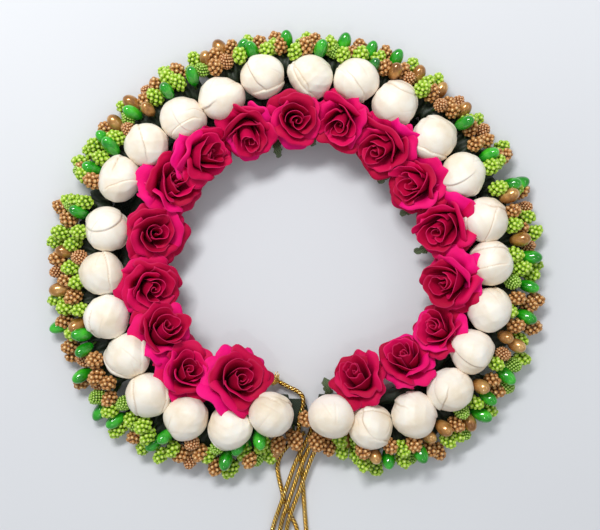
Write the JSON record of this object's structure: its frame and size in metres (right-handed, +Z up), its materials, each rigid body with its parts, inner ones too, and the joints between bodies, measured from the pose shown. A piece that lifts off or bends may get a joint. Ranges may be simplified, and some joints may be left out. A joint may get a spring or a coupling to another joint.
{
  "type": "flower crown",
  "caption": "Open flower ring for a hair bun: paper roses, sola buds and stamen sprays bound on a bendable taped wire, with gold tie cords at its opening.",
  "frame": {"origin": "middle of the ring's outline, without its cords, on the surface it lies on", "axes": "+Z up out of the flowers' faces, +X across the ring's width, -Y towards its opening and the tie cords"},
  "size_m": [0.1495, 0.1917, 0.0193],
  "materials": {
    "rose_paper": "matte magenta paper, darker in the folds",
    "sola_bud": "soft ivory sheets of sola wood, creased",
    "stamen": "lacquered beads in lime, green, copper and pearl gold",
    "tape_wrap": "dark green crepe floral tape",
    "backing_weave": "dark green woven ribbon",
    "gold_cord": "braided metallic gold thread"
  },
  "bodies": {
    "crown_back": {"back_wrapped_core": "tape_wrap", "back_backing_band": "backing_weave", "sola_bud_09": "sola_bud", "sola_bud_10": "sola_bud", "sola_bud_11": "sola_bud", "sola_bud_12": "sola_bud", "sola_bud_13": "sola_bud", "sola_bud_14": "sola_bud", "sola_bud_15": "sola_bud", "sola_bud_16": "sola_bud", "sola_bud_17": "sola_bud", "sola_bud_18": "sola_bud", "paper_rose_06": "rose_paper", "paper_rose_07": "rose_paper", "paper_rose_08": "rose_paper", "paper_rose_09": "rose_paper", "paper_rose_10": "rose_paper", "paper_rose_11": "rose_paper", "paper_rose_12": "rose_paper", "stamen_spray_3": "stamen", "stamen_spray_4": "stamen", "stamen_spray_5": "stamen"},
    "left_arm": {"left_wrapped_core": "tape_wrap", "left_backing_band": "backing_weave", "sola_bud_01": "sola_bud", "sola_bud_02": "sola_bud", "sola_bud_03": "sola_bud", "sola_bud_04": "sola_bud", "sola_bud_05": "sola_bud", "sola_bud_06": "sola_bud", "sola_bud_07": "sola_bud", "sola_bud_08": "sola_bud", "paper_rose_01": "rose_paper", "paper_rose_02": "rose_paper", "paper_rose_03": "rose_paper", "paper_rose_04": "rose_paper", "paper_rose_05": "rose_paper", "stamen_spray_1": "stamen", "stamen_spray_2": "stamen"},
    "right_arm": {"right_wrapped_core": "tape_wrap", "right_backing_band": "backing_weave", "sola_bud_19": "sola_bud", "sola_bud_20": "sola_bud", "sola_bud_21": "sola_bud", "sola_bud_22": "sola_bud", "sola_bud_23": "sola_bud", "sola_bud_24": "sola_bud", "sola_bud_25": "sola_bud", "sola_bud_26": "sola_bud", "paper_rose_13": "rose_paper", "paper_rose_14": "rose_paper", "paper_rose_15": "rose_paper", "paper_rose_16": "rose_paper", "paper_rose_17": "rose_paper", "stamen_spray_6": "stamen", "stamen_spray_7": "stamen", "crossing_tie_cord": "gold_cord", "looped_tie_cord": "gold_cord", "single_tie_cord": "gold_cord", "single_cord_knot": "gold_cord"}
  },
  "joints": [
    {"name": "left_arm_opening", "type": "hinge", "parent": "crown_back", "child": "left_arm", "pos_m": [-0.04674, 0.01311, 0.00375], "axis": [0, 0, -1], "range_deg": [0, 8]},
    {"name": "right_arm_opening", "type": "hinge", "parent": "crown_back", "child": "right_arm", "pos_m": [0.04532, 0.01648, 0.00375], "axis": [0, 0, 1], "range_deg": [0, 8]}
  ]
}
